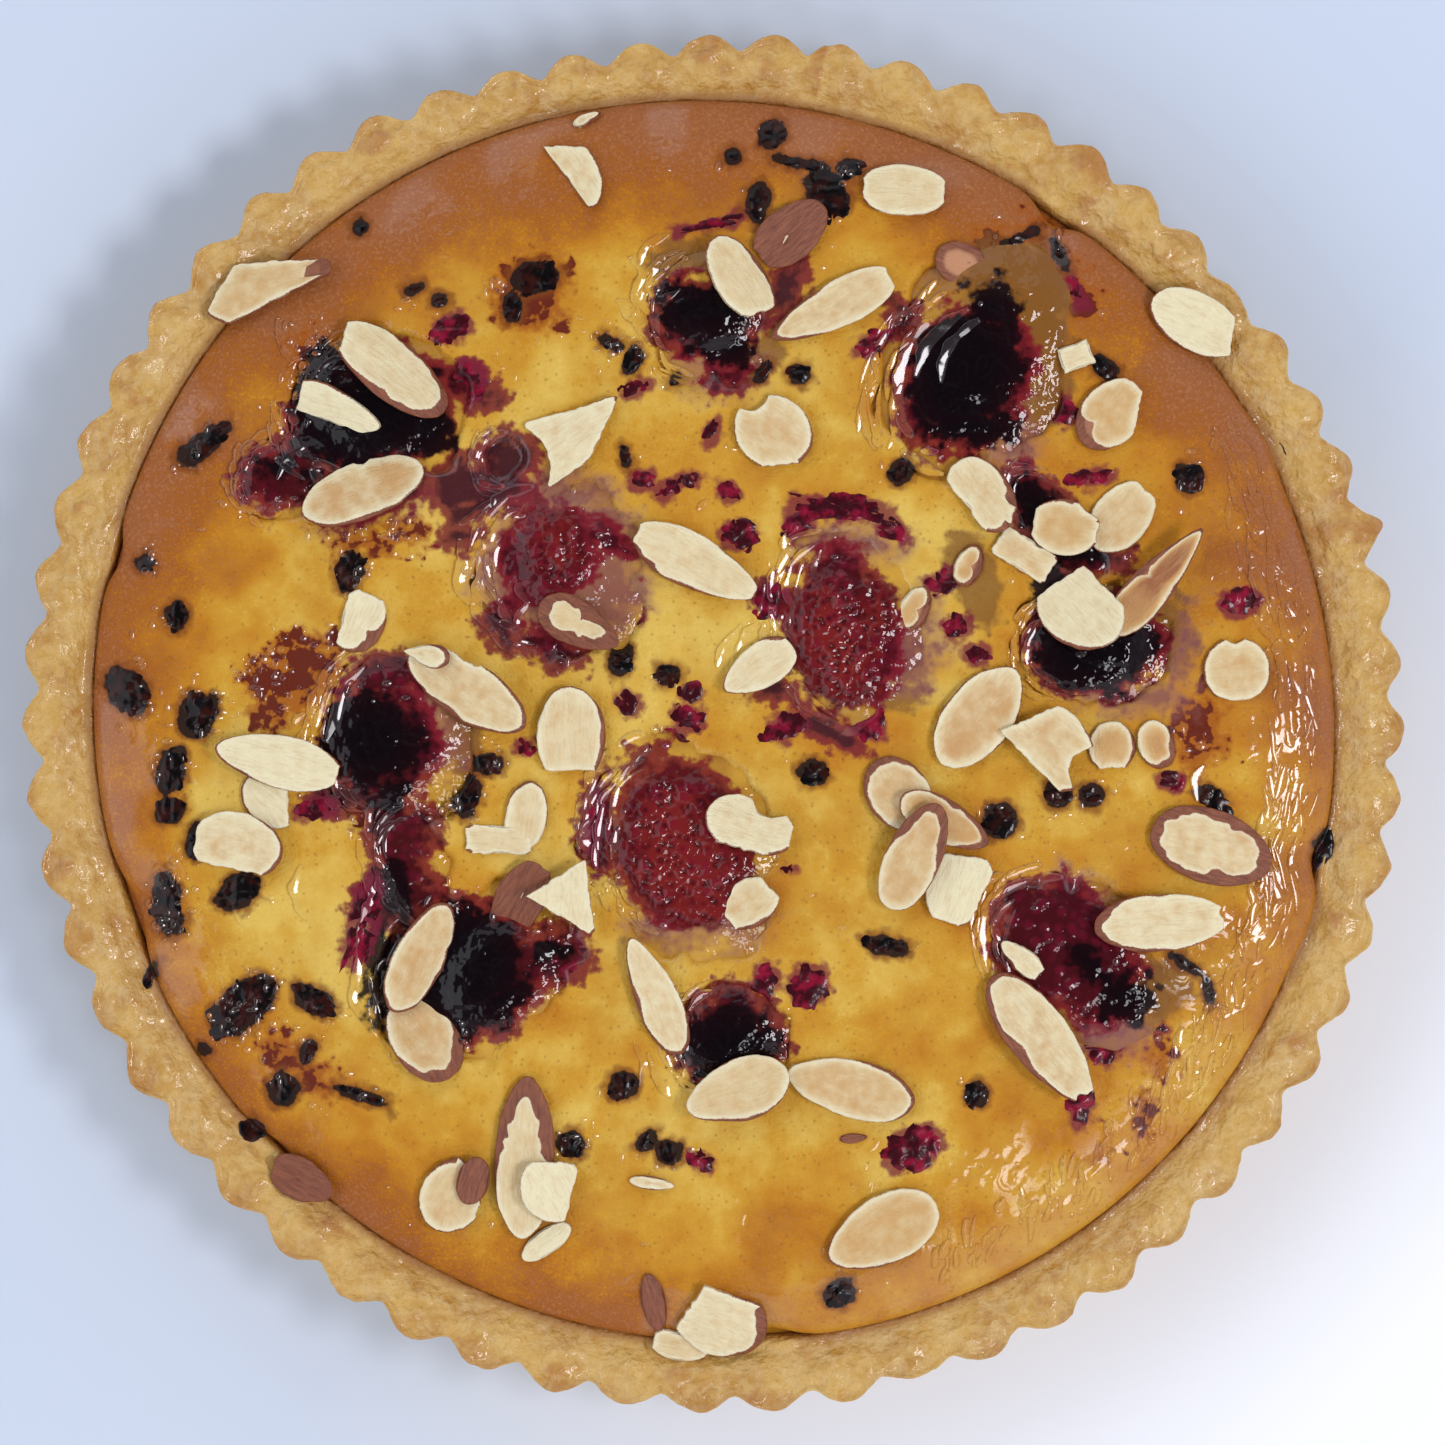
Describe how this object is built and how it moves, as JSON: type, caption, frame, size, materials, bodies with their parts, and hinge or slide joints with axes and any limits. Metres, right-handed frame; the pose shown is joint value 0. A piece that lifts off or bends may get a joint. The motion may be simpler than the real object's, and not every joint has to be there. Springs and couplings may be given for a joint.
{
  "type": "frangipane tart",
  "caption": "Round fluted frangipane tart: shortcrust case, domed almond filling baked round sunken strawberries and dark berries, scattered with sliced almonds",
  "frame": {"origin": "Centre of the bounding box of the tart seen from above, on the surface it stands on.", "axes": "+Z is up, the short way through the tart. +X is to the right and +Y is up in the picture, which looks straight down."},
  "size_m": [0.2498, 0.249, 0.04],
  "materials": {
    "baked_crust": "baked shortcrust pastry, sandy and matte, golden with paler creases and browned crags",
    "frangipane": "baked almond sponge, golden to brown, with a thin broken fruit glaze and dark juice stains",
    "almond_flesh": "sliced almond, cream to toasted tan, with a thin brown skin round the edge",
    "almond_skin": "brown almond skin, matte and finely wrinkled",
    "red_fruit": "baked red berry, wet and dark at its edges",
    "dark_fruit": "baked dark berry, almost black, wet and glossy"
  },
  "bodies": {
    "root": {"crust": "baked_crust", "frangipane": "frangipane", "strawberry_left": "red_fruit", "strawberry_middle": "red_fruit", "strawberry_lower": "red_fruit", "dark_berry_top": "dark_fruit", "dark_berry_right": "dark_fruit", "dark_berry_left": "dark_fruit", "red_berry_left": "red_fruit", "dark_berry_centre": "dark_fruit", "dark_berry_middle_left": "dark_fruit", "dark_berry_lower_left": "dark_fruit", "red_berry_low": "red_fruit", "red_berry_right": "red_fruit", "almond_02": "almond_flesh", "almond_03": "almond_skin", "almond_04": "almond_flesh", "almond_05": "almond_flesh", "almond_07": "almond_flesh", "almond_09": "almond_flesh", "almond_10": "almond_flesh", "almond_11": "almond_flesh", "almond_12": "almond_flesh", "almond_13": "almond_flesh", "almond_14": "almond_flesh", "almond_15": "almond_flesh", "almond_16": "almond_flesh", "almond_17": "almond_flesh", "almond_20": "almond_flesh", "almond_21": "almond_flesh", "almond_22": "almond_flesh", "almond_25": "almond_skin", "almond_26": "almond_flesh", "almond_28": "almond_flesh", "almond_29": "almond_flesh", "almond_30": "almond_flesh", "almond_31": "almond_flesh", "almond_35": "almond_flesh", "almond_37": "almond_flesh", "almond_39": "almond_flesh", "almond_42": "almond_skin", "almond_41": "almond_flesh", "almond_43": "almond_flesh", "almond_44": "almond_flesh", "almond_46": "almond_flesh", "almond_45": "almond_flesh", "almond_47": "almond_flesh", "almond_48": "almond_flesh", "almond_50": "almond_flesh", "almond_52": "almond_flesh", "almond_51": "almond_flesh", "almond_53": "almond_flesh", "almond_54": "almond_flesh", "almond_55": "almond_flesh", "almond_56": "almond_flesh", "almond_57": "almond_flesh", "almond_58": "almond_flesh", "almond_60": "almond_flesh", "almond_62": "almond_skin", "almond_65": "almond_flesh"}
  },
  "joints": []
}
